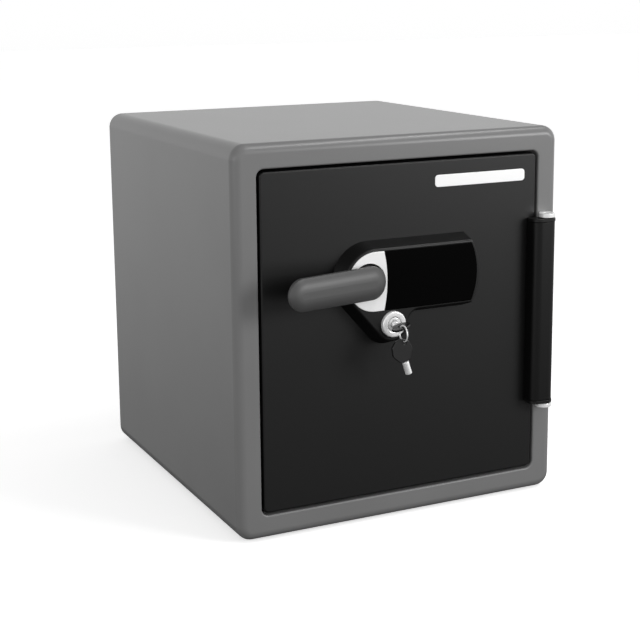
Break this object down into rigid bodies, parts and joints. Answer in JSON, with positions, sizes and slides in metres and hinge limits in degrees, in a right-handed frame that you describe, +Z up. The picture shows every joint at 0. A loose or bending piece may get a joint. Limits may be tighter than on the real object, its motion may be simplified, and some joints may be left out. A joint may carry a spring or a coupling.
{
  "type": "safe",
  "caption": "Fire-resistant floor safe with an inset hinged door, side hinge bar, lever handle, touch screen, key lock with hanging spare key, live bolts and a shelf inside.",
  "frame": {"origin": "centre of the base, on the surface that the safe stands on, at the middle of its overall width and depth", "axes": "+Z up, -Y out of the front, where the door and the lever are, +X to the right of someone facing the door"},
  "size_m": [0.42, 0.49, 0.452],
  "materials": {
    "body": "satin grey powder coat",
    "door": "satin charcoal powder coat",
    "hinge": "satin black",
    "lever": "smooth satin grey",
    "housing": "satin black moulding",
    "screen": "glossy black touch panel",
    "silver": "bright satin silver",
    "bright_metal": "polished plate",
    "steel": "zinc plated",
    "liner": "moulded grey plastic",
    "insulation": null,
    "rubber": "matt black",
    "board": "green circuit board",
    "battery": "printed wrap, blank",
    "key": "moulded black plastic"
  },
  "bodies": {
    "cabinet": {"outer_shell": "body", "back_panel": "body", "cabinet_insulation": "insulation", "inner_liner": "liner", "strike_plate_left": "steel", "strike_plate_right": "steel", "foot_front_left": "rubber", "foot_front_right": "rubber", "foot_back_left": "rubber", "foot_back_right": "rubber", "hinge_bracket_lower": "bright_metal", "hinge_bracket_upper": "bright_metal", "hinge_pin": "steel", "shelf": "liner"},
    "door": {"door_skin": "door", "door_insulation_front": "insulation", "door_insulation_back": "insulation", "door_inner_panel": "liner", "door_seal": "rubber", "hinge_bar": "hinge", "hinge_bush_lower": "hinge", "hinge_bush_upper": "hinge", "lock_housing": "housing", "handle_surround": "silver", "touch_screen": "screen", "keypad_board": "board", "badge": "silver", "lock_cylinder": "bright_metal", "mechanism_plate": "steel", "bolt_guide_left": "steel", "bolt_guide_right": "steel", "solenoid": "steel", "battery_holder": "liner", "battery_1": "battery", "battery_2": "battery", "battery_3": "battery", "battery_4": "battery", "door_pocket": "liner", "key_rack": "liner", "control_cable": "rubber"},
    "handle": {"lever_handle": "lever", "handle_spindle": "steel", "cam_plate": "steel", "spindle_clip": "steel"},
    "bolts_left": {"bolt_bar_left": "steel", "bolt_left_lower": "bright_metal", "bolt_left_upper": "bright_metal"},
    "bolts_right": {"bolt_bar_right": "steel", "bolt_right_lower": "bright_metal", "bolt_right_upper": "bright_metal"},
    "plunger": {"solenoid_plunger": "steel"},
    "key": {"key_plug": "steel", "key_barrel": "bright_metal", "key_head": "key"},
    "blocker": {"key_blocker": "steel"},
    "key_ring": {"key_ring": "bright_metal"},
    "spare_key": {"spare_key_head": "key", "spare_key_barrel": "bright_metal"},
    "battery_cover": {"battery_cover": "liner"}
  },
  "joints": [
    {"name": "door_hinge", "type": "hinge", "parent": "cabinet", "child": "door", "pos_m": [0.1885, -0.2008, 0.225], "axis": [0, 0, 1], "range_deg": [0, 105]},
    {"name": "handle_turn", "type": "hinge", "parent": "door", "child": "handle", "pos_m": [-0.0562, -0.19, 0.2918], "axis": [0, -1, 0], "range_deg": [0, 60]},
    {"name": "bolts_left_slide", "type": "slide", "parent": "door", "child": "bolts_left", "axis": [-1, 0, 0], "range_m": [0, 0.0201]},
    {"name": "bolts_right_slide", "type": "slide", "parent": "door", "child": "bolts_right", "axis": [1, 0, 0], "range_m": [0, 0.0201]},
    {"name": "plunger_slide", "type": "slide", "parent": "door", "child": "plunger", "axis": [-1, 0, 0], "range_m": [0, 0.006]},
    {"name": "key_turn", "type": "hinge", "parent": "door", "child": "key", "pos_m": [-0.0257, -0.19, 0.2406], "axis": [0, -1, 0], "range_deg": [0, 90]},
    {"name": "blocker_slide", "type": "slide", "parent": "door", "child": "blocker", "axis": [0, 0, 1], "range_m": [0, 0.0079]},
    {"name": "ring_swing", "type": "hinge", "parent": "key", "child": "key_ring", "pos_m": [-0.0257, -0.235, 0.24347], "axis": [0, -1, 0], "range_deg": [-4, 26]},
    {"name": "spare_key_swing", "type": "hinge", "parent": "key_ring", "child": "spare_key", "pos_m": [-0.0257, -0.235, 0.22547], "axis": [0, -1, 0], "range_deg": [-60, 60]},
    {"name": "battery_cover_hinge", "type": "hinge", "parent": "door", "child": "battery_cover", "pos_m": [0, -0.0979, 0.294], "axis": [-1, 0, 0], "range_deg": [0, 100]}
  ],
  "couplings": [
    {"joint": "bolts_left_slide", "follows": "handle_turn", "m_per_rad": 0.019099},
    {"joint": "bolts_right_slide", "follows": "handle_turn", "m_per_rad": 0.019099},
    {"joint": "blocker_slide", "follows": "key_turn", "m_per_rad": 0.004952}
  ]
}
